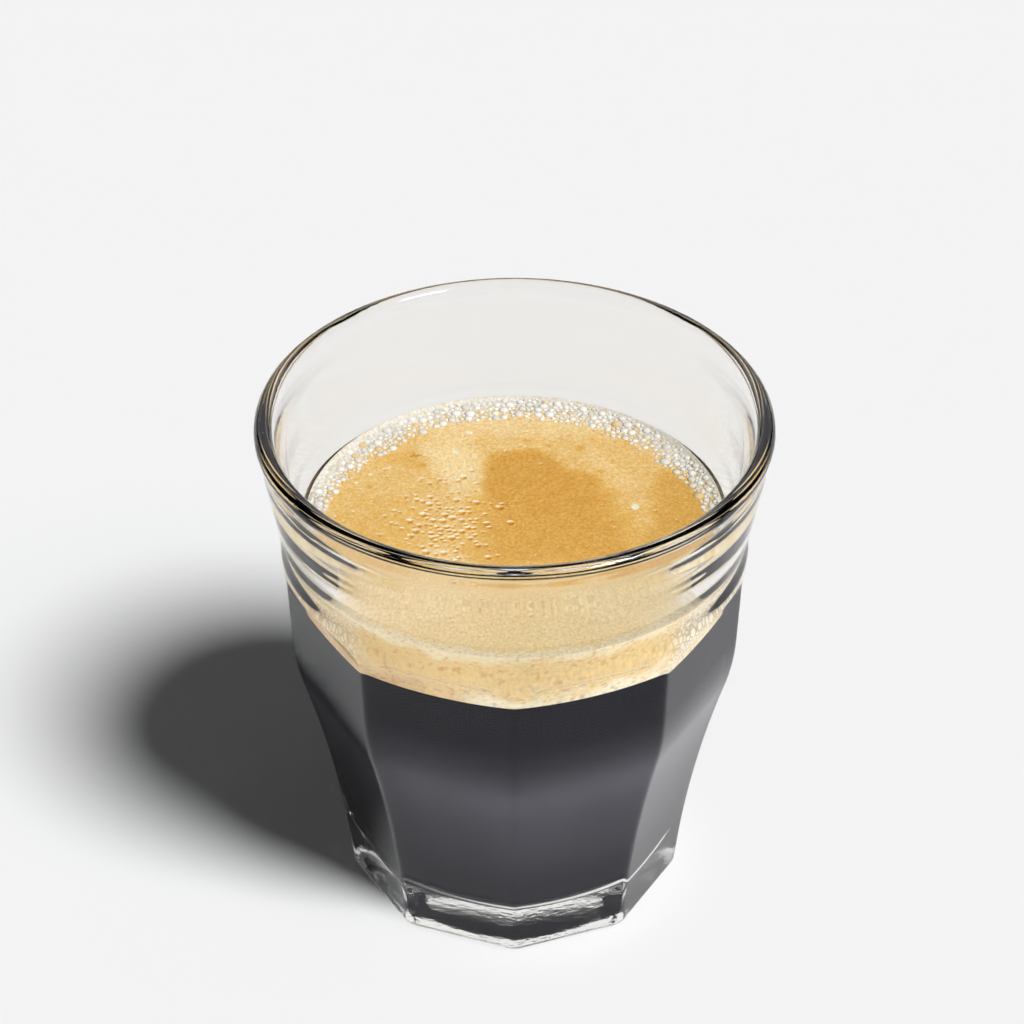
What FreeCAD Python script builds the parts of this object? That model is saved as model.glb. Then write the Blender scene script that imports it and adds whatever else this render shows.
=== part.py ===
import FreeCAD, Part
import math
import os

from FreeCAD import Vector

# A lungo in its pressed-glass tumbler, in millimetres. +Z is up and the origin is the
# centre of the foot. The tumbler is round at the rim and nine-sided below, round inside,
# with one facet edge facing -Y. It holds black coffee under a layer of crema.

# Rim of the tumbler
HEIGHT = 83.0
RIM_RADIUS = 38.5
RIM_THICKNESS = 2.9
RIM_ROUND = 0.48 * RIM_THICKNESS      # the lip is rounded over almost its whole width

# Facets. FACET_TOP_RADIUS and the other radii are those of the edges where two facets
# meet. A lean is the outward slope of an edge, in millimetres per millimetre of height.
# From the foot up, an edge leans out to the knee, turns upright at the shoulder and ends
# at the facet top.
FACETS = 9
FOOT_ROUND = 1.6
FOOT_RADIUS = 25.85
FOOT_LEAN = 0.09
KNEE_LEVEL = 37.0
KNEE_RADIUS = 32.75
KNEE_LEAN = 0.30
KNEE_TO_SHOULDER = 9.0
SHOULDER_LEAN = 0.06
SHOULDER_TO_TOP = 9.5
SHOULDER_STEP = 0.45                  # the facet top stands out from the shoulder by this
FACET_TOP_RADIUS = 34.75
ARCH_RADIUS = 5.6                     # each facet scoops outward into the band above
EDGE_BLUNT = 0.14                     # the pressed edges are rounded back by this

# Round band between the facet tops and the flare. Each step is outward from the radius
# of the facet tops, and each rise is above the place before it.
BEAD_RISE = 5.5
BEAD_STEP = 0.45
GROOVE_RISE = 2.4
GROOVE_STEP = 0.10
FLARE_RISE = 2.8
FLARE_STEP = 0.85

# Inside of the tumbler
WALL = 2.4                            # thinnest glass, at the middle of a facet
RIM_LEAN_INSIDE = 0.23
FLOOR_LEVEL = 6.6                     # thickness of the base
FLOOR_ROUND = 4.0
UNDERSIDE_RADIUS = 19.0               # shallow dish under the base
UNDERSIDE_DEPTH = 1.1

# The drink
COFFEE_TOP = 53.6                     # level where the crema begins
CREMA_THICKNESS = 10.7

SHOULDER_LEVEL = KNEE_LEVEL + KNEE_TO_SHOULDER
FACET_TOP = SHOULDER_LEVEL + SHOULDER_TO_TOP
CREMA_TOP = COFFEE_TOP + CREMA_THICKNESS
FLAT_SHARE = math.cos(math.pi / FACETS)   # apothem of the polygon over its edge radius
CLEAR = 10.0                              # how far cutting tools reach past the glass


def point(radius, level):
    return Vector(radius, 0, level)


def blend(start, start_lean, end, end_lean):
    """A smooth curve between two (radius, level) points that keeps the lean of each end."""
    third = (end[1] - start[1]) / 3
    poles = [
        point(*start),
        point(start[0] + start_lean * third, start[1] + third),
        point(end[0] - end_lean * third, end[1] - third),
        point(*end),
    ]
    curve = Part.BezierCurve()
    curve.setPoles(poles)
    return curve.toShape()


def line(start, end):
    return Part.LineSegment(point(*start), point(*end)).toShape()


def side(share, inset):
    """The S-shaped side from above the foot to the facet tops, as edges and its two ends.

    share scales the edge radii, and inset moves the side towards the axis.
    """
    foot = (FOOT_RADIUS * share - inset, FOOT_ROUND)
    knee = (KNEE_RADIUS * share - inset, KNEE_LEVEL)
    shoulder = ((FACET_TOP_RADIUS - SHOULDER_STEP) * share - inset, SHOULDER_LEVEL)
    top = (FACET_TOP_RADIUS * share - inset, FACET_TOP)
    edges = [
        blend(foot, FOOT_LEAN * share, knee, KNEE_LEAN * share),
        blend(knee, KNEE_LEAN * share, shoulder, SHOULDER_LEAN * share),
        line(shoulder, top),
    ]
    return edges, foot, top


def quarter_round(low, high, bulge_radius, bulge_level):
    """A quarter circle between two (radius, level) points, about the given centre."""
    reach = math.hypot(low[0] - bulge_radius, low[1] - bulge_level)
    middle_angle = (
        math.atan2(low[1] - bulge_level, low[0] - bulge_radius)
        + math.atan2(high[1] - bulge_level, high[0] - bulge_radius)
    ) / 2
    middle = (
        bulge_radius + reach * math.cos(middle_angle),
        bulge_level + reach * math.sin(middle_angle),
    )
    return Part.Arc(point(*low), point(*middle), point(*high)).toShape()


def foot_round(foot):
    """The rounded lower edge of the foot, and the point where it meets the table."""
    contact = (foot[0] - FOOT_ROUND, 0.0)
    return quarter_round(contact, foot, foot[0] - FOOT_ROUND, FOOT_ROUND), contact


def turned(edges):
    """A solid of revolution about Z from a closed outline of edges."""
    face = Part.Face(Part.Wire(edges))
    return face.revolve(Vector(0, 0, 0), Vector(0, 0, 1), 360)


def round_blank():
    """The tumbler's outside before its facets are pressed, as a filled solid."""
    edges, foot, top = side(1.0, EDGE_BLUNT)
    lower_round, contact = foot_round(foot)
    bead = (FACET_TOP_RADIUS + BEAD_STEP, FACET_TOP + BEAD_RISE)
    groove = (FACET_TOP_RADIUS + GROOVE_STEP, bead[1] + GROOVE_RISE)
    flare_start = (FACET_TOP_RADIUS + FLARE_STEP, groove[1] + FLARE_RISE)
    flare_end = (RIM_RADIUS, HEIGHT - RIM_ROUND)
    lip = (RIM_RADIUS, HEIGHT)
    flare_lean = (flare_end[0] - flare_start[0]) / (flare_end[1] - flare_start[1])
    band = Part.BSplineCurve()
    band.interpolate(
        Points=[
            point(*top),
            point(*bead),
            point(*groove),
            point(*flare_start),
        ],
        InitialTangent=Vector(0, 0, 1),
        FinalTangent=Vector(flare_lean, 0, 1),
    )
    outline = [line((0.0, 0.0), contact), lower_round] + edges
    outline += [
        band.toShape(),
        line(flare_start, flare_end),
        line(flare_end, lip),
        line(lip, (0.0, HEIGHT)),
        line((0.0, HEIGHT), (0.0, 0.0)),
    ]
    return turned(outline)


def facet_cutter():
    """What pressing one facet takes off the +X side of the round blank."""
    edges, foot, top = side(FLAT_SHARE, 0.0)
    lower_round, contact = foot_round(foot)
    arch_end = (top[0] + ARCH_RADIUS, top[1] + ARCH_RADIUS)
    arch = quarter_round(top, arch_end, arch_end[0], top[1])
    outside = RIM_RADIUS + CLEAR
    below = (contact[0], -CLEAR)
    outline = [lower_round] + edges
    outline += [
        arch,
        line(arch_end, (outside, arch_end[1])),
        line((outside, arch_end[1]), (outside, -CLEAR)),
        line((outside, -CLEAR), below),
        line(below, contact),
    ]
    face = Part.Face(Part.Wire(outline))
    face.translate(Vector(0, -RIM_RADIUS, 0))
    return face.extrude(Vector(0, 2 * RIM_RADIUS, 0))


def slab(low, high):
    """Everything between two levels."""
    width = 2 * (RIM_RADIUS + CLEAR)
    corner = Vector(-width / 2, -width / 2, low)
    return Part.makeBox(width, width, high - low, corner)


def circular_edges(shape, level):
    """The edges of a shape that lie at one level."""
    tolerance = 1e-4
    found = []
    for edge in shape.Edges:
        box = edge.BoundBox
        if abs(box.ZMin - level) < tolerance and abs(box.ZMax - level) < tolerance:
            found.append(edge)
    return found


def cavity():
    """The round inside of the tumbler, from its floor to past the rim."""
    edges, foot, top = side(FLAT_SHARE, WALL)
    lip = (RIM_RADIUS - RIM_THICKNESS, HEIGHT)
    lean = RIM_LEAN_INSIDE
    past = (lip[0] + lean * CLEAR, HEIGHT + CLEAR)
    under = (foot[0], 0.0)
    outline = [line((0.0, 0.0), under), line(under, foot)] + edges
    outline += [
        blend(top, SHOULDER_LEAN, lip, lean),
        line(lip, past),
        line(past, (0.0, past[1])),
        line((0.0, past[1]), (0.0, 0.0)),
    ]
    hollow = turned(outline).common(slab(FLOOR_LEVEL, past[1]))
    return hollow.makeFillet(FLOOR_ROUND, circular_edges(hollow, FLOOR_LEVEL))


def underside_dish():
    """A shallow dome that keeps the middle of the base off the table."""
    sphere_radius = (UNDERSIDE_RADIUS ** 2 + UNDERSIDE_DEPTH ** 2) / (2 * UNDERSIDE_DEPTH)
    return Part.makeSphere(sphere_radius, Vector(0, 0, UNDERSIDE_DEPTH - sphere_radius))


def tumbler(inside):
    blank = round_blank()
    edge_to_flat = 180.0 / FACETS
    cutters = []
    for index in range(FACETS):
        cutter = facet_cutter()
        turn = -90.0 + edge_to_flat + index * 2 * edge_to_flat
        cutter.rotate(Vector(0, 0, 0), Vector(0, 0, 1), turn)
        cutters.append(cutter)
    body = blank.cut(cutters)
    body = body.cut(inside).cut(underside_dish())
    rounding = 0.98 * RIM_ROUND
    return body.makeFillet(rounding, circular_edges(body, HEIGHT))


def write(node, shape):
    """Write one closed solid to its own file."""
    solids = shape.Solids
    if len(solids) != 1 or not solids[0].isValid():
        raise ValueError(f"{node} is not one valid solid")
    solids[0].exportStep(f"parts/{node}.step")
    volume_ml = solids[0].Volume / 1000
    box = solids[0].BoundBox
    print(f"{node}: {volume_ml:.1f} ml, z {box.ZMin:.2f} to {box.ZMax:.2f}, "
          f"width {box.XLength:.2f} x {box.YLength:.2f}")


os.makedirs("parts", exist_ok=True)
inside = cavity()
write("glass", tumbler(inside))
write("coffee", inside.common(slab(FLOOR_LEVEL, COFFEE_TOP)))
write("crema", inside.common(slab(COFFEE_TOP, CREMA_TOP)))
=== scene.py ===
import math
import random

import bpy
import numpy as np
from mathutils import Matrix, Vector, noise


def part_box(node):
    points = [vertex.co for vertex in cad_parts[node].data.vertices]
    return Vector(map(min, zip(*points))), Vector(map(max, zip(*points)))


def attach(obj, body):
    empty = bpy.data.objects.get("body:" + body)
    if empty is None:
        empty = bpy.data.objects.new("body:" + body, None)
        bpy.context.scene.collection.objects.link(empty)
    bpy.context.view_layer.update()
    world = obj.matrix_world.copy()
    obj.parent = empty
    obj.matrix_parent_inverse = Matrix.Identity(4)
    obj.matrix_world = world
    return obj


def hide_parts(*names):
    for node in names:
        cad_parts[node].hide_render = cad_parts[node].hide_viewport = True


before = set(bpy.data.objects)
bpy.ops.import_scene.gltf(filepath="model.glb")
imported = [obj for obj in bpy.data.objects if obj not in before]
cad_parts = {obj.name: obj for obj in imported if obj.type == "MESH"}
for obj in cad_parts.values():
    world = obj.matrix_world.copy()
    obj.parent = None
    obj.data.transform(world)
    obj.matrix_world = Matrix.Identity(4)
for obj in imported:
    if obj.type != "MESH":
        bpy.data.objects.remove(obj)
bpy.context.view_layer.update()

MM = 0.001

# ---------------------------------------------------------------- sizes in millimetres

# Levels that come from the frame
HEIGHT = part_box("glass")[1].z / MM
FLOOR_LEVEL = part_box("coffee")[0].z / MM
COFFEE_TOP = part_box("coffee")[1].z / MM
CREMA_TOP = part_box("crema")[1].z / MM

# Rounded lip, and the slight neck outside below it
RIM_RADIUS = 38.5
RIM_THICKNESS = 2.8
RIM_LEVEL = HEIGHT - RIM_THICKNESS / 2
NECK_LEVEL = RIM_LEVEL - 2.3
NECK_STEP = 0.22
NECK_RUN = 4.0

# Line where two facets meet, from the foot over the knee and the shoulder to the top
FACETS = 9
FLAT_SHARE = math.cos(math.pi / FACETS)
FOOT_ROUND = 1.6
FOOT_RADIUS = 25.85
FOOT_LEAN = 0.09
KNEE_LEVEL = 37.0
KNEE_RADIUS = 32.75
KNEE_LEAN = 0.30
SHOULDER_LEVEL = KNEE_LEVEL + 9.0
SHOULDER_LEAN = 0.06
FACET_TOP = SHOULDER_LEVEL + 9.5
FACET_TOP_RADIUS = 34.75
SHOULDER_RADIUS = FACET_TOP_RADIUS - 0.45
ARCH_RADIUS = 5.6

# Round band above the facets, as (radius, level)
BEAD = (FACET_TOP_RADIUS + 0.45, FACET_TOP + 5.5)
GROOVE = (FACET_TOP_RADIUS + 0.10, BEAD[1] + 2.4)
FLARE = (FACET_TOP_RADIUS + 0.85, GROOVE[1] + 2.8)

# Inside and underside
WALL = 2.4
RIM_LEAN_INSIDE = 0.235
FLOOR_ROUND = 4.0
UNDERSIDE_RADIUS = 19.0
UNDERSIDE_DEPTH = 1.1

# Softness of the pressed glass
EDGE_SOFT = 0.32         # how far neighbouring facets melt into each other
FOOT_SOFT = 1.0          # the same at the foot, whose corners are rounder
ARCH_SOFT = 0.30         # the same where a facet runs out in the round band
WOBBLE = 0.03            # unevenness of the pressed surface

SINK = 0.15              # how far the drink reaches into the wall
AIR_GAP = 0.05           # between the foot and the floor of the studio


# ---------------------------------------------------------------- outlines

def smoothstep(low, high, value):
    """0 at low, 1 at high, and a smooth rise between them."""
    t = np.clip((value - low) / (high - low), 0, 1)
    return t * t * (3 - 2 * t)


def hermite(level, start, start_lean, end, end_lean):
    """Radius at a level on a smooth curve between two (radius, level) points."""
    span = end[1] - start[1]
    t = np.clip((level - start[1]) / span, 0, 1)
    return ((2 * t**3 - 3 * t**2 + 1) * start[0] + (t**3 - 2 * t**2 + t) * span * start_lean
            + (3 * t**2 - 2 * t**3) * end[0] + (t**3 - t**2) * span * end_lean)


def edge_radius(level):
    """Radius of the line where two facets meet."""
    foot = (FOOT_RADIUS, FOOT_ROUND)
    knee = (KNEE_RADIUS, KNEE_LEVEL)
    shoulder = (SHOULDER_RADIUS, SHOULDER_LEVEL)
    top_lean = (FACET_TOP_RADIUS - SHOULDER_RADIUS) / (FACET_TOP - SHOULDER_LEVEL)
    lower = hermite(level, foot, FOOT_LEAN, knee, KNEE_LEAN)
    upper = hermite(level, knee, KNEE_LEAN, shoulder, SHOULDER_LEAN)
    top = SHOULDER_RADIUS + (level - SHOULDER_LEVEL) * top_lean
    return np.where(level < KNEE_LEVEL, lower, np.where(level < SHOULDER_LEVEL, upper, top))


def neck_depth(level):
    """How much the outside draws in below the rounded lip."""
    rise = smoothstep(NECK_LEVEL, RIM_LEVEL, level)
    fall = smoothstep(NECK_LEVEL, NECK_LEVEL - NECK_RUN, level)
    return NECK_STEP * (1 - rise) * (1 - fall)


def band_radius(level):
    """Radius of the round band and the flare above the facets."""
    flare_lean = (RIM_RADIUS - FLARE[0]) / (RIM_LEVEL - FLARE[1])
    start = (FACET_TOP_RADIUS, FACET_TOP)
    bead = hermite(level, start, 0.0, BEAD, 0.0)
    groove = hermite(level, BEAD, 0.0, GROOVE, 0.0)
    rise = hermite(level, GROOVE, 0.0, FLARE, flare_lean)
    flare = FLARE[0] + (level - FLARE[1]) * flare_lean - neck_depth(level)
    lower = np.where(level < BEAD[1], bead, groove)
    upper = np.where(level < FLARE[1], rise, flare)
    above = np.where(level < GROOVE[1], lower, upper)
    return np.where(level < FACET_TOP, edge_radius(level), above)


def soft_min(a, b, softness):
    """The smaller of two values, melted together where they are close."""
    melt = np.maximum(softness - np.abs(a - b), 0) / softness
    return np.minimum(a, b) - melt * melt * softness / 4


def corner(depth, size):
    """How far a quarter circle of this size draws in at a depth below its top."""
    depth = np.clip(depth, 0, size)
    return size - np.sqrt(size**2 - depth**2)


def outer_radius(level, angle):
    """The tumbler's outside at each level and angle: facets below, a round band above."""
    step = 2 * math.pi / FACETS
    off_middle = np.abs(np.mod(angle, step) - step / 2)
    scoop = corner(level - FACET_TOP, ARCH_RADIUS)
    apothem = edge_radius(np.minimum(level, FACET_TOP)) * FLAT_SHARE + scoop
    near = apothem / np.cos(off_middle)
    far = apothem / np.cos(step - off_middle)
    foot_share = np.clip(1 - level / (2.5 * FOOT_ROUND), 0, 1)
    facets = soft_min(near, far, EDGE_SOFT + (FOOT_SOFT - EDGE_SOFT) * foot_share)
    radius = soft_min(facets, band_radius(level), ARCH_SOFT)
    return radius - corner(FOOT_ROUND - level, FOOT_ROUND)


def inner_radius(level):
    """The round inside of the tumbler, with its rounded floor corner."""
    start = (FACET_TOP_RADIUS * FLAT_SHARE - WALL, FACET_TOP)
    lip = (RIM_RADIUS - RIM_THICKNESS, RIM_LEVEL)
    upper = hermite(level, start, SHOULDER_LEAN, lip, RIM_LEAN_INSIDE)
    lower = edge_radius(level) * FLAT_SHARE - WALL
    radius = np.where(level < FACET_TOP, lower, upper)
    return radius - corner(FLOOR_LEVEL + FLOOR_ROUND - level, FLOOR_ROUND)


def round_levels(low, size, count):
    """Levels that are evenly spread along a quarter circle that starts flat at low."""
    turn = np.linspace(0, math.pi / 2, count)
    return low + size * (1 - np.cos(turn))


# ---------------------------------------------------------------- meshes

def new_object(name, vertices, faces, sharp_degrees=180):
    """An object from points in millimetres. Edges above an angle may be shaded sharp."""
    mesh = bpy.data.meshes.new(name)
    mesh.from_pydata((vertices * MM).tolist(), [], faces)
    mesh.shade_smooth()
    if sharp_degrees < 180:
        mesh.set_sharp_from_angle(angle=math.radians(sharp_degrees))
    mesh.validate()
    piece = bpy.data.objects.new(name, mesh)
    bpy.context.scene.collection.objects.link(piece)
    return piece


def full_turn(columns):
    """Evenly spread angles, as one row."""
    return np.linspace(0, 2 * math.pi, columns, endpoint=False)[None, :]


def grid(radius, level, angle):
    """Radius and level at each row and each angle, from values that don't vary with both."""
    radius, level, _ = np.broadcast_arrays(radius, level, angle)
    return radius, level


def joined(grids):
    """One grid of radius and level from several, one after the other."""
    radius = np.concatenate([radius for radius, _ in grids])
    level = np.concatenate([level for _, level in grids])
    return radius, level


def turned_points(radius, level, angle):
    """Points at each (row, column). Angle 0 looks along -Y and grows towards +X."""
    x = radius * np.sin(angle)
    y = -radius * np.cos(angle)
    return np.stack([x, y, np.broadcast_to(level, x.shape)], axis=-1)


def turned_faces(rows, columns, closed=True):
    """Quads round a grid of rows, with a fan to a last centre and, if closed, to a first one."""
    faces = []
    for row in range(rows - 1):
        base = row * columns
        for column in range(columns):
            after = (column + 1) % columns
            faces.append((base + column, base + after,
                          base + columns + after, base + columns + column))
    first_centre = rows * columns
    last_centre = first_centre + 1 if closed else first_centre
    last = (rows - 1) * columns
    for column in range(columns):
        after = (column + 1) % columns
        if closed:
            faces.append((first_centre, after, column))
        faces.append((last + column, last + after, last_centre))
    return faces


def turned_object(name, points, first_centre, last_centre, sharp_degrees=180):
    """A closed turned shape, with the levels of the centre points at its two ends."""
    rows, columns, _ = points.shape
    centres = np.array([[0, 0, first_centre], [0, 0, last_centre]])
    vertices = np.concatenate([points.reshape(-1, 3), centres])
    return new_object(name, vertices, turned_faces(rows, columns), sharp_degrees)


def paint(piece, name, colours):
    """Stores one linear colour for each vertex."""
    attribute = piece.data.attributes.new(name, "FLOAT_COLOR", "POINT")
    rgba = np.concatenate([colours, np.ones((len(colours), 1))], axis=1)
    attribute.data.foreach_set("color", rgba.astype(np.float32).ravel())


def paint_share(piece, name, share):
    """Stores one number for each vertex, as a grey."""
    paint(piece, name, np.repeat(share.reshape(-1, 1), 3, axis=1))


def smooth_noise(points, size, seed=0.0):
    """Blender's gradient noise at many points, with features about size across."""
    return np.array([noise.noise((x / size + seed, y / size - seed, z / size))
                     for x, y, z in points])


def clouds(points, layers):
    """A sum of noises, each given as its size in millimetres, its seed and its strength."""
    return sum(strength * smooth_noise(points, size, seed) for size, seed, strength in layers)


def linear(red, green, blue):
    """A colour given as 0 to 255 screen values, as linear light."""
    channels = np.array([red, green, blue]) / 255
    return np.where(channels < 0.04045, channels / 12.92, ((channels + 0.055) / 1.055) ** 2.4)


# ---------------------------------------------------------------- materials

GLASS_IOR = 1.51
WATER_IOR = 1.33
FOAM_IOR = 1.17                      # mostly air: light piped along the wall passes it by
GLASS_TINT = (0.94, 0.93, 0.908, 1)
GLASS_REFLECTION = (0.58, 0.58, 0.66, 1)
GLASS_SHADOW = (0.95, 0.96, 0.95, 1)
RIPPLE_FADE = (0.0011, 0.0014)       # metres above the table: the ripples end there
RIPPLE_HEIGHT = 0.000045             # metres
FOAM_MIRROR = (0.09, 0.09, 0.11, 1)  # gloss of the foam against the glass
CELL_WHITE = (*linear(252, 246, 232), 1)
CELL_FILM = (*linear(206, 184, 146), 1)
CELLS_PER_METRE = 1150.0


class Nodes:
    """A material, with short calls that add and join its shader nodes."""

    def __init__(self, name):
        self.material = bpy.data.materials.new(name)
        self.material.use_nodes = True
        self.tree = self.material.node_tree
        self.shader = self.tree.nodes["Principled BSDF"]
        self.output = self.tree.nodes["Material Output"]

    def set(self, node, name, value):
        """Gives an input, found by its name or number, a value or a link from a socket."""
        if isinstance(value, bpy.types.NodeSocket):
            self.tree.links.new(value, node.inputs[name])
        else:
            node.inputs[name].default_value = value

    def add(self, kind, **inputs):
        node = self.tree.nodes.new(kind)
        for name, value in inputs.items():
            self.set(node, name.replace("_", " "), value)
        return node

    def place(self):
        """The place on the object, in metres."""
        return self.add("ShaderNodeTexCoord").outputs["Object"]

    def painted(self, name, output="Color"):
        """What is stored for each vertex under a name."""
        node = self.add("ShaderNodeAttribute")
        node.attribute_name = name
        return node.outputs[output]

    def noise(self, per_metre, detail=2.0, roughness=0.5):
        node = self.add("ShaderNodeTexNoise", Vector=self.place(), Scale=per_metre,
                        Detail=detail, Roughness=roughness)
        return node.outputs["Fac"]

    def mottled(self, colour, grain, darkest, palest):
        """A colour that a noise makes darker and paler."""
        shade = self.add("ShaderNodeMapRange", Value=grain, From_Min=0.3, From_Max=0.7,
                         To_Min=darkest, To_Max=palest)
        scaled = self.add("ShaderNodeVectorMath")
        scaled.operation = "SCALE"
        self.set(scaled, 0, colour)
        self.set(scaled, "Scale", shade.outputs["Result"])
        return scaled.outputs["Vector"]

    def mix_colours(self, share, first, second):
        """The colour sockets of a Mix node are its inputs 6 and 7 and its output 2."""
        node = self.add("ShaderNodeMix")
        node.data_type = "RGBA"
        self.set(node, "Factor", share)
        self.set(node, 6, first)
        self.set(node, 7, second)
        return node.outputs[2]

    def show_mix(self, share, first, second):
        """Puts a mix of two shaders on the surface."""
        mix = self.add("ShaderNodeMixShader")
        self.set(mix, 0, share)
        self.set(mix, 1, first.outputs[0])
        self.set(mix, 2, second.outputs[0])
        self.set(self.output, "Surface", mix.outputs[0])


def wet_against_glass(nodes, ior, mirror):
    """Adds the gloss of a boundary with the glass: total at flat angles, nearly none head on."""
    nodes.set(nodes.shader, "Specular IOR Level", 0.0)
    nodes.set(nodes.shader, "Roughness", 0.6)
    edge = nodes.add("ShaderNodeFresnel", IOR=ior / GLASS_IOR)
    gloss = nodes.add("ShaderNodeBsdfGlossy", Color=mirror, Roughness=0.03)
    nodes.show_mix(edge.outputs[0], nodes.shader, gloss)


def glass_material():
    """Clear glass with a finely rippled underside. Its own shadow is faint."""
    nodes = Nodes("clear_glass")
    shader = nodes.shader
    nodes.set(shader, "Base Color", GLASS_TINT)
    nodes.set(shader, "Transmission Weight", 1.0)
    nodes.set(shader, "Roughness", 0.0)
    nodes.set(shader, "IOR", GLASS_IOR)
    nodes.set(shader, "Specular Tint", GLASS_REFLECTION)
    split = nodes.add("ShaderNodeSeparateXYZ", Vector=nodes.place())
    low = nodes.add("ShaderNodeMapRange", Value=split.outputs["Z"], From_Min=RIPPLE_FADE[0],
                    From_Max=RIPPLE_FADE[1], To_Min=1.0, To_Max=0.0)
    ripple = nodes.add("ShaderNodeBump", Strength=low.outputs["Result"],
                       Distance=RIPPLE_HEIGHT, Height=nodes.noise(750.0))
    nodes.set(shader, "Normal", ripple.outputs["Normal"])
    path = nodes.add("ShaderNodeLightPath")
    soft = nodes.add("ShaderNodeMath")
    soft.operation = "MAXIMUM"
    nodes.set(soft, 0, path.outputs["Is Shadow Ray"])
    nodes.set(soft, 1, path.outputs["Is Diffuse Ray"])
    clear = nodes.add("ShaderNodeBsdfTransparent", Color=GLASS_SHADOW)
    nodes.show_mix(soft.outputs[0], shader, clear)
    return nodes.material


def coffee_material():
    """Black coffee that touches the glass."""
    nodes = Nodes("black_coffee")
    colour = nodes.mottled(nodes.painted("coffee_colour_and_painted_light"), nodes.noise(60.0, 3.0), 0.85, 1.15)
    nodes.set(nodes.shader, "Base Color", colour)
    wet_against_glass(nodes, WATER_IOR, nodes.painted("wall_mirror"))
    return nodes.material


def crema_material():
    """Open foam: the painted colour, with painted highlights and painted shade in pits, mottled and
    pitted at the size of its bubbles.
    """
    nodes = Nodes("crema_foam")
    shader = nodes.shader
    grain = nodes.noise(2300.0, 3.0, 0.6)
    colour = nodes.mottled(nodes.painted("foam_colour_and_painted_light"), grain, 0.80, 1.17)
    nodes.set(shader, "Base Color", colour)
    pits = nodes.add("ShaderNodeBump", Strength=0.45, Distance=0.0002, Height=nodes.noise(2600.0))
    nodes.set(shader, "Normal", pits.outputs["Normal"])
    nodes.set(shader, "Specular IOR Level", 0.3)
    nodes.set(shader, "Roughness", 0.5)
    return nodes.material


def pressed_foam_material():
    """Foam pressed against the wall: flat cells with thin darker films between them."""
    nodes = Nodes("foam_against_glass")
    shader = nodes.shader
    cells = nodes.add("ShaderNodeTexVoronoi", Vector=nodes.place())
    cells.feature = "DISTANCE_TO_EDGE"
    nodes.set(cells, "Scale", CELLS_PER_METRE)
    inside = nodes.add("ShaderNodeMapRange", Value=cells.outputs["Distance"],
                       From_Min=0.03, From_Max=0.20, To_Min=0.0, To_Max=1.0)
    cell = nodes.mix_colours(inside.outputs["Result"], CELL_FILM, CELL_WHITE)
    foam = nodes.mix_colours(nodes.painted("cell_share", "Fac"), nodes.painted("foam_colour_and_painted_light"), cell)
    colour = nodes.mottled(foam, nodes.noise(1500.0, 3.0, 0.6), 0.90, 1.08)
    nodes.set(shader, "Base Color", colour)
    # Painted glow: the foam emits the painted light on its side away from the lamp.
    nodes.set(shader, "Emission Color", nodes.painted("painted_glow_through_foam"))
    nodes.set(shader, "Emission Strength", 1.0)
    wet_against_glass(nodes, FOAM_IOR, FOAM_MIRROR)
    return nodes.material


def bubble_material():
    """Films of bubbles, pale with the light that the foam below scatters."""
    nodes = Nodes("foam_bubbles")
    shader = nodes.shader
    colour = nodes.mottled(nodes.painted("foam_colour_and_painted_light"), nodes.noise(1800.0), 0.9, 1.08)
    nodes.set(shader, "Base Color", colour)
    nodes.set(shader, "Roughness", 0.12)
    nodes.set(shader, "IOR", WATER_IOR)
    return nodes.material


# ---------------------------------------------------------------- the tumbler

# Degrees from the line where two facets meet, up to the middle of a facet
EDGE_TURNS = [0, 0.18, 0.36, 0.55, 0.8, 1.15, 1.7, 2.6, 4, 6, 8.5, 11.2, 14, 17]


def facet_angles():
    """Columns round the tumbler, close together where two facets meet."""
    step = 360 / FACETS
    one_facet = EDGE_TURNS + [step / 2] + [step - turn for turn in reversed(EDGE_TURNS[1:])]
    return np.radians([facet * step + turn for facet in range(FACETS) for turn in one_facet])


def underside_rows(angle):
    """From the middle of the dish to the ring that stands on the table."""
    share = np.linspace(0.08, 1, 14)[:, None]
    dish = grid(UNDERSIDE_RADIUS * share, UNDERSIDE_DEPTH * (1 - share**2), angle)
    contact = outer_radius(np.array([[0.0]]), angle)
    share = np.linspace(0.25, 0.9, 4)[:, None]
    ring = grid(UNDERSIDE_RADIUS + (contact - UNDERSIDE_RADIUS) * share, 0.0, angle)
    return [dish, ring]


def outside_rows(angle):
    """From the table up to the lip."""
    levels = np.concatenate([
        round_levels(0, FOOT_ROUND, 9),
        np.linspace(FOOT_ROUND, FACET_TOP, 70)[1:],
        np.linspace(FACET_TOP, FACET_TOP + ARCH_RADIUS, 38)[1:],
        np.linspace(FACET_TOP + ARCH_RADIUS, FLARE[1], 20)[1:],
        np.linspace(FLARE[1], RIM_LEVEL, 34)[1:-1],
    ])[:, None]
    return [grid(outer_radius(levels, angle), levels, angle)]


def lip_rows(angle):
    """Over the top, from outside to inside."""
    turn = np.linspace(0, math.pi, 25)[:, None]
    radius = RIM_RADIUS - RIM_THICKNESS / 2 * (1 - np.cos(turn))
    return [grid(radius, RIM_LEVEL + RIM_THICKNESS / 2 * np.sin(turn), angle)]


def inside_rows(angle):
    """From the lip down to the floor and to its middle."""
    levels = np.concatenate([
        np.linspace(RIM_LEVEL, FACET_TOP, 48)[1:],
        np.linspace(FACET_TOP, FLOOR_LEVEL + FLOOR_ROUND, 40)[1:],
        round_levels(FLOOR_LEVEL, FLOOR_ROUND, 10)[::-1][1:],
    ])[:, None]
    side = grid(inner_radius(levels), levels, angle)
    share = np.linspace(0.9, 0.1, 8)[:, None]
    floor = grid(inner_radius(np.array([[FLOOR_LEVEL]])) * share, FLOOR_LEVEL, angle)
    return [side, floor]


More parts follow.
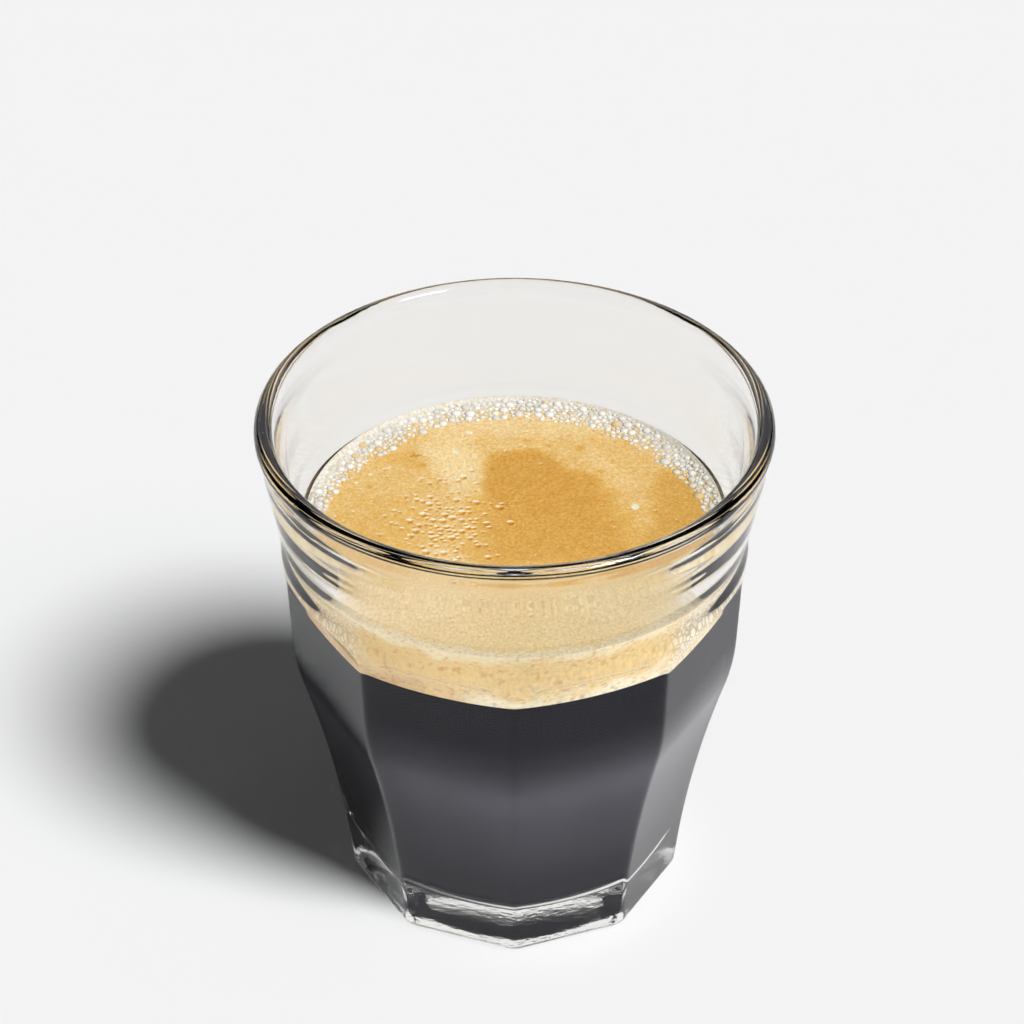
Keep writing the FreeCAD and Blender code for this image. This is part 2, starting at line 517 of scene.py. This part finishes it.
def make_glass():
    angle = facet_angles()[None, :]
    radius, level = joined(underside_rows(angle) + outside_rows(angle) + lip_rows(angle)
                           + inside_rows(angle))
    points = turned_points(radius, level, angle)
    wobble = smooth_noise(points.reshape(-1, 3), 11.0).reshape(radius.shape)
    steady = smoothstep(0.5, 6, level) * smoothstep(HEIGHT, HEIGHT - 8, level)
    points = turned_points(radius - WOBBLE * (1 + wobble) * steady, level, angle)
    piece = turned_object("tumbler", points, UNDERSIDE_DEPTH, FLOOR_LEVEL)
    piece.data.materials.append(glass_material())
    return piece


# ---------------------------------------------------------------- the coffee

COFFEE_DARK = np.array([0.0004, 0.0002, 0.0020])
COFFEE_PAINTED_LIGHT = np.array([0.062, 0.059, 0.078])
# Painted reflection: a paler band crosses the facets and stands in for bright floor reflected in
# them. Levels, and how pale the coffee is at each.
LIT_BAND_LEVELS = [13, 20, 25, 29, 32, 34.5, 38, 41, 45]
LIT_BAND_SHARES = [0.06, 0.38, 0.52, 0.68, 0.96, 1.0, 0.56, 0.22, 0.0]
# Painted shade: the band fades on the -X side, away from the key light.
SHADED_SIDE = (-12, -24)     # along x, where the band starts to fade and where it is faintest
SHADED_SHARE = 0.8
WALL_MIRROR = 0.20           # strength of the coffee's gloss against the wall
BASE_LEVELS = (16, 11)       # the gloss grows to its full strength between these levels


def make_coffee():
    """The coffee fills the inside up to the foam. Its tone, with a painted band of reflected light
    and painted shade on its -X side, and its gloss are painted on.
    """
    angle = full_turn(180)
    rise = np.concatenate([
        round_levels(FLOOR_LEVEL, FLOOR_ROUND, 10),
        np.linspace(FLOOR_LEVEL + FLOOR_ROUND, COFFEE_TOP, 50)[1:],
    ])[:, None]
    side = inner_radius(rise) + SINK
    side_level = np.where(rise == FLOOR_LEVEL, FLOOR_LEVEL - SINK, rise)
    bottom = side[0] * np.linspace(0.2, 0.9, 5)[:, None]
    top = side[-1] * np.linspace(0.95, 0.2, 4)[:, None]
    radius, level = joined([grid(bottom, FLOOR_LEVEL - SINK, angle), grid(side, side_level, angle),
                            grid(top, COFFEE_TOP, angle)])
    points = turned_points(radius, level, angle)
    piece = turned_object("black_coffee", points, FLOOR_LEVEL - SINK, COFFEE_TOP, 50)

    heights = np.append(points[..., 2].ravel(), [FLOOR_LEVEL, COFFEE_TOP])
    across = np.append(points[..., 0].ravel(), [0, 0])
    # Painted light: the pale reflection band, faded into painted shade towards -X.
    band = np.interp(heights, LIT_BAND_LEVELS, LIT_BAND_SHARES)[:, None]
    band = band * (1 - SHADED_SHARE * smoothstep(*SHADED_SIDE, across)[:, None])
    paint(piece, "coffee_colour_and_painted_light", COFFEE_DARK + (COFFEE_PAINTED_LIGHT - COFFEE_DARK) * band)
    low = smoothstep(*BASE_LEVELS, heights)
    paint_share(piece, "wall_mirror", WALL_MIRROR + (1 - WALL_MIRROR) * low)
    piece.data.materials.append(coffee_material())
    return piece


# ---------------------------------------------------------------- the crema's surface

CREMA_SURFACE_RADIUS = float(inner_radius(np.array(CREMA_TOP)))
RING_WIDTH = 3.6             # of the pale ring along the wall, at the back

FOAM_HIGHLIGHT = linear(244, 238, 222)
FOAM_PALE = linear(246, 217, 159)
FOAM_MIDDLE = linear(231, 183, 96)
FOAM_DARK = linear(214, 154, 58)
FOAM_SPOT_AND_PIT_SHADE = linear(176, 112, 30)
FOAM_WALL = linear(224, 218, 205)
FOAM_FRONT = linear(250, 231, 192)

# Tones run from 0, pale, to 1, dark; below 0 the foam takes a painted highlight's white, and above
# 1 the colour of dark spots and of the painted shade in pits.
BASE_TONE = 0.36
DARK_TONE = 0.30
CREST_TONE = 0.22
RIGHT_DARK_TONE = 0.36
FRONT_SHARE = 0.80
FRONT = (-9.5, -14.5)        # the foam turns paler between these two y
# Areas in millimetres, seen from above with -Y at the bottom
DARK_FOAM = [(-6.5, -22), (-5.5, -8), (-5.2, 2), (-5.0, 10), (-4.3, 14.5), (-1.5, 17), (3, 18),
             (6, 16.2), (9.5, 12.5), (13, 9), (15, 3), (17.5, -4), (19, -14), (12, -24), (0, -26)]
RIGHT_DARK_FOAM = [(19.5, -6), (20.5, 2), (21.5, 9), (23.5, 13), (26.5, 11), (29.5, 4), (28, -8),
                   (23, -14)]
# Softer patches: middle x and y, half width, half depth, turn in degrees, change of tone
PATCHES = [
    (-9.5, 15.5, 4.6, 6.5, 15, -0.34),
    (-8.0, 9.0, 2.6, 5.0, 5, -0.20),
    (-17.0, 15.5, 3.4, 2.2, 0, 0.18),
    (-19.0, -2.0, 7.0, 9.0, 0, 0.10),
    (0.0, 25.0, 20.0, 4.5, 0, -0.24),
    (14.5, 13.5, 2.0, 7.0, 35, -0.12),
    (-12.0, -10.0, 5.0, 3.0, -25, -0.22),
    # The last two patches are painted highlights: pale streaks of light near the front wall.
    (-10.5, -21.5, 6.5, 2.0, 12, -0.40),
    (10.5, -21.5, 6.5, 2.0, -12, -0.60),
]
# Small marks: x, y, radius along x and y, change of tone. Positive ones are dark spots in the foam;
# negative ones are painted highlights, white glints.
MARKS = [
    (-15.2, 16.4, 0.9, 0.6, 0.45), (-14.0, 13.8, 0.6, 0.5, 0.35), (2.0, 20.2, 0.7, 0.5, 0.40),
    (5.2, 19.0, 0.5, 0.5, 0.35), (10.0, 18.4, 0.8, 0.7, 0.30), (13.2, 12.2, 0.6, 0.6, 0.35),
    (15.0, 14.6, 0.5, 0.5, 0.25), (-22.0, 8.0, 0.6, 0.5, 0.30), (9.0, 15.6, 0.5, 0.4, 0.25),
    (18.2, 3.0, 0.55, 0.85, -1.6), (-7.0, 22.4, 0.50, 0.40, -1.5), (-21.9, 11.4, 0.35, 0.30, -1.1),
    (-19.2, 13.1, 0.30, 0.30, -1.0), (-24.0, 9.2, 0.30, 0.30, -0.9), (-9.0, 17.2, 0.5, 0.4, -1.0),
]
# Noises as (size in millimetres, seed, strength)
WARP_X = [(4.0, 3.1, 1.5), (1.1, 6.1, 0.6)]
WARP_Y = [(4.0, 7.7, 1.5), (1.1, 2.6, 0.6)]
TONE_CLOUDS = [(2.4, 1.3, 0.12), (0.7, 5.2, 0.20)]
LEVEL_CLOUDS = [(7.0, 2.2, 0.10), (0.8, 4.4, 0.05)]
RING_CLOUDS = [(3.0, 9.1, 0.4), (0.9, 6.3, 0.3)]

# Pits: a cluster with a middle and a spread along x and y, and others all over the surface
CLUSTER_X = (-10.2, 2.9)
CLUSTER_Y = (-1.0, 5.0)
LARGE_PITS = 60
CLUSTER_PITS = 150
ALL_PITS = 300


def depth_inside(outline, x, y):
    """How far each point lies inside a closed outline; below 0 outside it."""
    nearest = np.full(len(x), np.inf)
    inside = np.zeros(len(x), dtype=bool)
    for (x0, y0), (x1, y1) in zip(outline, outline[1:] + outline[:1]):
        run_x, run_y = x1 - x0, y1 - y0
        along = np.clip(((x - x0) * run_x + (y - y0) * run_y) / (run_x**2 + run_y**2), 0, 1)
        nearest = np.minimum(nearest, np.hypot(x - x0 - along * run_x, y - y0 - along * run_y))
        crossing = ((y0 > y) != (y1 > y)) & (x < (y - y0) * run_x / (run_y or 1) + x0)
        inside ^= crossing
    return np.where(inside, nearest, -nearest)


def patch_tone(x, y):
    """The change of tone that the soft patches make."""
    tone = np.zeros(len(x))
    for middle_x, middle_y, half_x, half_y, turn, strength in PATCHES:
        cos, sin = math.cos(math.radians(turn)), math.sin(math.radians(turn))
        along = ((x - middle_x) * cos + (y - middle_y) * sin) / half_x
        across = ((y - middle_y) * cos - (x - middle_x) * sin) / half_y
        tone += strength * smoothstep(1.3, 0.4, np.hypot(along, across))
    return tone


def mark_tone(x, y):
    """The change of tone that the small marks make."""
    tone = np.zeros(len(x))
    for mark_x, mark_y, half_x, half_y, strength in MARKS:
        near = np.hypot((x - mark_x) / half_x, (y - mark_y) / half_y)
        tone += strength * smoothstep(1.25, 0.6, near)
    return tone


def foam_tone(points):
    """The foam's tone at each point, from its dark areas, patches, marks and clouds; some patches
    and marks are painted light.
    """
    flat = points * (1, 1, 0)
    x = points[:, 0] + clouds(flat, WARP_X)
    y = points[:, 1] + clouds(flat, WARP_Y)
    crest = smoothstep(-22, 12, y + 0.35 * x)
    blur = smoothstep(9, 2, y)
    dark = smoothstep(-1.1 - 3 * blur, 1.6 + 3 * blur, depth_inside(DARK_FOAM, x, y))
    right_dark = smoothstep(-1.5, 2.0, depth_inside(RIGHT_DARK_FOAM, x, y))
    tone = BASE_TONE + (DARK_TONE + CREST_TONE * crest) * dark + RIGHT_DARK_TONE * right_dark
    tone = tone + patch_tone(x, y) + clouds(flat, TONE_CLOUDS)
    tone = np.clip(tone, 0, 1) * (1 - FRONT_SHARE * smoothstep(*FRONT, y))
    return np.clip(tone + mark_tone(points[:, 0], points[:, 1]), -1, 1.5)


def foam_colour_and_painted_light(tone):
    """A painted highlight's white below 0, then pale, middle and dark up to 1, and above 1 the
    colour of dark spots and of the painted shade in pits.
    """
    tone = tone[:, None]
    colours = FOAM_PALE + (FOAM_MIDDLE - FOAM_PALE) * np.clip(tone * 2, 0, 1)
    colours = colours + (FOAM_HIGHLIGHT - FOAM_PALE) * np.clip(-tone, 0, 1)
    colours = colours + (FOAM_DARK - FOAM_MIDDLE) * np.clip(tone * 2 - 1, 0, 1)
    return colours + (FOAM_SPOT_AND_PIT_SHADE - FOAM_DARK) * np.clip(tone - 1, 0, 1)


def scattered_pits():
    """Open bubbles on the surface, as (x, y, radius, depth). Half of them lie in one cluster."""
    chooser = random.Random(11)
    pits = []
    while len(pits) < CLUSTER_PITS:
        x = chooser.gauss(*CLUSTER_X)
        y = chooser.gauss(*CLUSTER_Y)
        smallest, largest = (0.36, 0.62) if len(pits) < LARGE_PITS else (0.24, 0.42)
        radius = chooser.uniform(smallest, largest)
        if all(math.hypot(x - pit[0], y - pit[1]) > 0.95 * (radius + pit[2]) for pit in pits):
            pits.append((x, y, radius, 0.26 * radius))
    while len(pits) < ALL_PITS:
        turn = chooser.uniform(0, 2 * math.pi)
        reach = (CREMA_SURFACE_RADIUS - RING_WIDTH) * math.sqrt(chooser.random())
        radius = chooser.uniform(0.14, 0.30)
        pits.append((reach * math.cos(turn), reach * math.sin(turn), radius, 0.4 * radius))
    return pits


def pit_depth_and_painted_light(points):
    """Depth and painted light of the pits: each has a low rim, painted shade in its near part and a
    painted highlight on its far edge.
    """
    depth_there = np.zeros(len(points))
    shade = np.zeros(len(points))
    for x, y, radius, depth in scattered_pits():
        away_x = (points[:, 0] - x) / radius
        away_y = (points[:, 1] - y) / radius
        reach = np.hypot(away_x, away_y)
        near = np.flatnonzero(reach < 1.7)
        r, far = reach[near], away_y[near]
        bowl = np.clip(1 - r**2, 0, 1)
        rim = 0.30 * np.exp(-((r - 1.15) / 0.22) ** 2)
        depth_there[near] += depth * (rim - bowl)
        # Painted shade in the near part of each pit, and a painted highlight along its far edge.
        dark = 0.80 * smoothstep(1.10, 0.60, r) * smoothstep(0.60, 0.30, far)
        far_highlight = 1.1 * smoothstep(0.45, 0.75, far) * smoothstep(0.45, 0.15, np.abs(r - 1.05))
        shade[near] += min(radius / 0.45, 1) * (dark - far_highlight)
    return depth_there, shade


def foam_climb(points):
    """How far the foam stands above its mean level, how far in it is, and how far back."""
    inward = CREMA_SURFACE_RADIUS - np.hypot(points[:, 0], points[:, 1])
    to_back = smoothstep(-0.15, 0.45, points[:, 1] / CREMA_SURFACE_RADIUS)
    climb = (0.20 + 0.40 * to_back) * np.exp(-np.maximum(inward, 0) / 0.8)
    return climb + clouds(points * (1, 1, 0), LEVEL_CLOUDS), inward, to_back


def surface_colours(where, shade, inward, to_back):
    """Colours of the open foam, with the pale ring along the wall and specks in it."""
    colours = foam_colour_and_painted_light(np.clip(foam_tone(where) + shade, -1, 1.8))
    ring_edge = RING_WIDTH * (0.40 + 0.60 * to_back) * (1 + clouds(where, RING_CLOUDS))
    ring = smoothstep(1.15, 0.35, inward / np.maximum(ring_edge, 0.5))
    ring_colour = FOAM_FRONT + (FOAM_WALL - FOAM_FRONT) * to_back[:, None]
    colours = colours + (ring_colour - colours) * ring[:, None]
    speck = 0.6 * smoothstep(0.25, 0.5, smooth_noise(where, 0.55, 3.7)) * ring
    return colours + (FOAM_MIDDLE - colours) * speck[:, None]


def make_crema_surface():
    """The sheet of open foam on top, with its pits and the edge that climbs the wall."""
    columns, rows = 560, 170
    angle = full_turn(columns)
    share = np.linspace(1, 0.006, rows)[:, None]
    radius, level = grid((CREMA_SURFACE_RADIUS + SINK) * share, CREMA_TOP, angle)
    where = turned_points(radius, level, angle).reshape(-1, 3)
    climb, inward, to_back = foam_climb(where)
    depth, shade = pit_depth_and_painted_light(where)
    level = (CREMA_TOP + depth + climb).reshape(radius.shape)
    points = turned_points(radius, level, angle)
    vertices = np.concatenate([points.reshape(-1, 3), [[0, 0, level[-1].mean()]]])
    piece = new_object("crema_surface", vertices, turned_faces(rows, columns, closed=False))
    colours = surface_colours(where, shade, inward, to_back)
    paint(piece, "foam_colour_and_painted_light", np.concatenate([colours, colours[-1:]]))
    piece.data.materials.append(crema_material())
    return piece


# ---------------------------------------------------------------- the crema's side

SIDE_FOAM = linear(243, 209, 145)
SIDE_LOW = linear(254, 241, 210)
SIDE_TOP = linear(252, 232, 188)
SIDE_SPECK = linear(212, 156, 84)
SIDE_BROWN = linear(226, 190, 140)
SIDE_GREY = linear(176, 172, 172)
SIDE_CLOUDS = [(4.0, 8.8, 0.22), (1.2, 4.8, 0.08)]
SPECK_SHARE = 0.60
GREY_SHARE = 0.55
# Painted glow: emission stands in for light that crosses the foam to the side away from the lamp.
FOAM_PAINTED_GLOW = 0.33             # light that crosses the foam to the side away from the lamp
CREMA_UNDER = 1.2            # how far the body's hidden top lies below the surface


def side_looks(points):
    """Colours of the foam seen through the wall, and how far its cells show."""
    height = (points[:, 2] - COFFEE_TOP) / (CREMA_TOP - COFFEE_TOP)
    cloud = clouds(points, SIDE_CLOUDS)
    low = smoothstep(0.34, 0.04, height + cloud)[:, None]
    top = smoothstep(0.78, 1.0, height + cloud)[:, None]
    brown = smoothstep(-3.0, -11.0, points[:, 0] + 8 * cloud)[:, None]
    low_colour = SIDE_LOW + (SIDE_BROWN - SIDE_LOW) * brown
    colours = SIDE_FOAM + (low_colour - SIDE_FOAM) * low
    colours = colours + (SIDE_TOP - colours) * top
    speck = SPECK_SHARE * smoothstep(0.27, 0.52, smooth_noise(points, 0.7, 2.9))[:, None]
    colours = colours + (SIDE_SPECK - colours) * speck
    grey = smoothstep(0.36, 0.52, smooth_noise(points, 0.8, 12.4)) * smoothstep(0.6, 0.25, height)
    colours = colours + (SIDE_GREY - colours) * GREY_SHARE * grey[:, None]
    turn = np.degrees(np.arctan2(np.abs(points[:, 0]), -points[:, 1]))
    side = smoothstep(38, 52, turn + 12 * cloud) * smoothstep(100, 80, turn)
    band = smoothstep(0.12, 0.32, height + cloud) * smoothstep(1.05, 0.85, height)
    return colours, 0.10 + 0.80 * side * band


def make_crema():
    """The body of the foam up against the wall. Its side meets the surface's edge."""
    angle = full_turn(480)
    edge = turned_points(*grid(CREMA_SURFACE_RADIUS + SINK, CREMA_TOP, angle), angle)
    edge_level = CREMA_TOP + foam_climb(edge.reshape(-1, 3))[0].reshape(angle.shape)
    side_levels = np.linspace(COFFEE_TOP, CREMA_TOP, 44)[:, None]
    side = inner_radius(side_levels) + SINK
    rise = (side_levels - COFFEE_TOP) / (CREMA_TOP - COFFEE_TOP)
    bottom = side[0] * np.array([[0.3], [0.8]])
    top = CREMA_SURFACE_RADIUS * np.array([[0.96], [0.4]])
    under = CREMA_TOP - CREMA_UNDER
    radius, level = joined([
        grid(bottom, COFFEE_TOP, angle),
        grid(side, COFFEE_TOP + rise * (edge_level - COFFEE_TOP), angle),
        grid(top, under, angle),
    ])
    points = turned_points(radius, level, angle)
    piece = turned_object("crema_foam", points, COFFEE_TOP, under, 60)

    where = np.concatenate([points.reshape(-1, 3), [[0, 0, COFFEE_TOP], [0, 0, under]]])
    colours, cells = side_looks(where)
    away = smoothstep(6, -14, where[:, 0])[:, None]
    paint(piece, "foam_colour_and_painted_light", colours)
    paint(piece, "painted_glow_through_foam", colours * FOAM_PAINTED_GLOW * away)
    paint_share(piece, "cell_share", cells)
    piece.data.materials.append(pressed_foam_material())
    return piece


# ---------------------------------------------------------------- the bubbles

# Radius in millimetres and how many, from large to small
BUBBLE_SIZES = ((0.82, 40), (0.60, 110), (0.42, 280), (0.28, 520), (0.18, 700))
BUBBLE_PALE = linear(250, 248, 242)
BUBBLE_GREY = linear(222, 218, 208)
BUBBLE_GOLD = linear(236, 206, 150)
# Painted shade: each bubble is painted darker at its edge than at its crown.
BUBBLE_EDGE_SHADE = np.array([0.74, 0.72, 0.68])   # how dark a bubble's edge is beside its crown
BUBBLE_FLATNESS = 0.4


def dome(radius, columns=12, rows=6):
    """A small sphere as points and faces, for one bubble."""
    turn = np.linspace(0, 2 * math.pi, columns, endpoint=False)
    points = [(0, 0, -radius)]
    for row in range(1, rows):
        tilt = math.pi * row / rows
        for step in turn:
            points.append((radius * math.sin(tilt) * math.cos(step),
                           radius * math.sin(tilt) * math.sin(step),
                           -radius * math.cos(tilt)))
    points.append((0, 0, radius))
    faces = []
    for column in range(columns):
        after = (column + 1) % columns
        faces.append((0, 1 + after, 1 + column))
        for row in range(rows - 2):
            low = 1 + row * columns
            high = low + columns
            faces.append((low + column, low + after, high + after, high + column))
        last = 1 + (rows - 2) * columns
        faces.append((last + column, last + after, len(points) - 1))
    return np.array(points), faces


def bubble_tint(chooser, golden):
    """Pale to grey, or now and then golden where the foam shows through."""
    if chooser.random() < golden:
        return BUBBLE_GOLD
    return BUBBLE_PALE + (BUBBLE_GREY - BUBBLE_PALE) * chooser.random() ** 1.5


def bubble_places(chooser):
    """Where the bubbles lie along the wall, as (x, y, radius). None lies at the front."""
    placed = []
    for size, count in BUBBLE_SIZES:
        tries = 0
        made = 0
        while made < count and tries < count * 30:
            tries += 1
            radius = size * chooser.uniform(0.8, 1.15)
            turn = chooser.uniform(0, 2 * math.pi)
            width = RING_WIDTH * (0.55 + 0.60 * smoothstep(-0.1, 0.7, math.sin(turn)))
            inward = radius * 0.85 + abs(chooser.gauss(0, 0.45)) * width
            if inward > width * 1.3:
                continue
            if chooser.random() > smoothstep(-0.30, 0.30, math.sin(turn)):
                continue
            reach = CREMA_SURFACE_RADIUS - inward
            x, y = reach * math.cos(turn), reach * math.sin(turn)
            if any(math.hypot(x - other[0], y - other[1]) < 0.82 * (radius + other[2])
                   for other in placed):
                continue
            placed.append((x, y, radius))
            made += 1
    return placed


def make_bubbles():
    """One mesh of flattened bubbles, half sunk in the foam that climbs the wall."""
    chooser = random.Random(5)
    vertices, faces, colours = [], [], []
    count = 0
    for x, y, radius in bubble_places(chooser):
        inward = CREMA_SURFACE_RADIUS - math.hypot(x, y)
        level = CREMA_TOP + 0.5 * math.exp(-inward / 0.8) - 0.10 * radius
        front = smoothstep(0.2, -0.7, y / CREMA_SURFACE_RADIUS)
        small = 0.35 if radius < 0.3 else 0.05
        tint = bubble_tint(chooser, small + (1 - small) * 0.9 * front)
        points, quads = dome(radius)
        vertices.append(points * (1, 1, BUBBLE_FLATNESS) + (x, y, level))
        faces += [tuple(index + count for index in quad) for quad in quads]
        # Painted shade towards each bubble's edge.
        crown = smoothstep(0.30, 0.85, points[:, 2] / radius)[:, None]
        colours.append(tint * (BUBBLE_EDGE_SHADE + (1 - BUBBLE_EDGE_SHADE) * crown))
        count += len(points)
    piece = new_object("surface_bubbles", np.concatenate(vertices), faces)
    paint(piece, "foam_colour_and_painted_light", np.concatenate(colours))
    piece.data.materials.append(bubble_material())
    return piece


# ---------------------------------------------------------------- build

tumbler = make_glass()
coffee = make_coffee()
crema = make_crema()
crema_surface = make_crema_surface()
surface_bubbles = make_bubbles()

for piece, slot in ((tumbler, "clear_glass"), (coffee, "black_coffee"), (crema, "crema_foam"),
                    (crema_surface, "crema_foam"), (surface_bubbles, "crema_foam")):
    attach(piece, "root")
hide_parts("glass")
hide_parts("coffee")
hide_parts("crema")


# ---------------------------------------------------------------- stage and light

FLOOR_HALF = 30000.0         # millimetres
FLOOR_COLOUR = (0.91, 0.91, 0.915, 1)
SKY_STRENGTH = 0.8
# Brightness of the sky at sines of the elevation: a pale horizon, a dim band, a softer top
SKY_STOPS = ((0.00, 1.10), (0.06, 1.00), (0.11, 0.02), (0.70, 0.02), (0.88, 0.10), (1.00, 0.30))
KEY_STRENGTH = 3.78
KEY_SPREAD = 18              # the key's width, elevation and turn are in degrees
KEY_ELEVATION = 50
KEY_TURN = 52
BACK_GLOW = 0.9
BACK_WIDTH = 1.50            # metres
BACK_HEIGHT = 0.50
BACK_ELEVATION = 33
LENS = 145.36                # millimetres, on a sensor 36 mm wide
CAMERA_DISTANCE = 0.63412    # metres
CAMERA_ELEVATION = 37.93     # the camera's angles are in degrees
CAMERA_TILT_UP = 1.752
CAMERA_TURN_LEFT = 0.044
AIM_LEVEL = 0.0415


def new_light(name, kind):
    light = bpy.data.objects.new(name, bpy.data.lights.new(name, kind))
    bpy.context.scene.collection.objects.link(light)
    return light


def make_floor():
    corners = [(x * FLOOR_HALF, y * FLOOR_HALF, -AIR_GAP)
               for x, y in ((-1, -1), (1, -1), (1, 1), (-1, 1))]
    floor = new_object("floor", np.array(corners), [(0, 1, 2, 3)])
    nodes = Nodes("pale_floor")
    nodes.set(nodes.shader, "Base Color", FLOOR_COLOUR)
    nodes.set(nodes.shader, "Roughness", 1.0)
    nodes.set(nodes.shader, "Specular IOR Level", 0.0)
    floor.data.materials.append(nodes.material)


def make_sky():
    """Soft light from overhead, a pale horizon and a dim band between them."""
    world = bpy.data.worlds.new("studio")
    bpy.context.scene.world = world
    world.use_nodes = True
    tree = world.node_tree
    place = tree.nodes.new("ShaderNodeTexCoord")
    split = tree.nodes.new("ShaderNodeSeparateXYZ")
    tree.links.new(place.outputs["Generated"], split.inputs[0])
    ramp = tree.nodes.new("ShaderNodeValToRGB")
    tree.links.new(split.outputs["Z"], ramp.inputs["Fac"])
    elements = ramp.color_ramp.elements
    while len(elements) < len(SKY_STOPS):
        elements.new(0.5)
    for element, (place_z, value) in zip(elements, SKY_STOPS):
        element.position = place_z
        element.color = (value, value, value * 1.02, 1)
    tree.links.new(ramp.outputs["Color"], tree.nodes["Background"].inputs["Color"])
    tree.nodes["Background"].inputs["Strength"].default_value = SKY_STRENGTH


def make_key():
    """A broad soft lamp, far off at the front right."""
    light = new_light("key", "SUN")
    light.data.energy = KEY_STRENGTH
    light.data.angle = math.radians(KEY_SPREAD)
    light.rotation_euler = (math.radians(90 - KEY_ELEVATION), 0, math.radians(KEY_TURN))


def make_back():
    """A dim softbox high behind, which shows in reflections and lights nothing else."""
    light = new_light("back_softbox", "AREA")
    light.data.shape = "RECTANGLE"
    light.data.size = BACK_WIDTH
    light.data.size_y = BACK_HEIGHT
    light.data.energy = math.pi * BACK_WIDTH * BACK_HEIGHT * BACK_GLOW
    light.visible_diffuse = False
    elevation = math.radians(BACK_ELEVATION)
    light.location = (0, math.cos(elevation), math.sin(elevation))
    light.rotation_euler = (math.pi / 2 - elevation, 0, math.pi)


def make_camera():
    data = bpy.data.cameras.new("camera")
    data.sensor_width = 36.0
    data.lens = LENS
    data.clip_start = 0.01
    camera = bpy.data.objects.new("camera", data)
    bpy.context.scene.collection.objects.link(camera)
    elevation = math.radians(CAMERA_ELEVATION)
    camera.location = (0, -CAMERA_DISTANCE * math.cos(elevation),
                       AIM_LEVEL + CAMERA_DISTANCE * math.sin(elevation))
    camera.rotation_euler = (math.pi / 2 - elevation + math.radians(CAMERA_TILT_UP), 0,
                             math.radians(CAMERA_TURN_LEFT))
    bpy.context.scene.camera = camera


make_floor()
make_sky()
make_key()
make_back()
make_camera()
scene = bpy.context.scene
scene.view_settings.view_transform = "Standard"
scene.cycles.max_bounces = 24
scene.cycles.glossy_bounces = 16
scene.cycles.transmission_bounces = 20
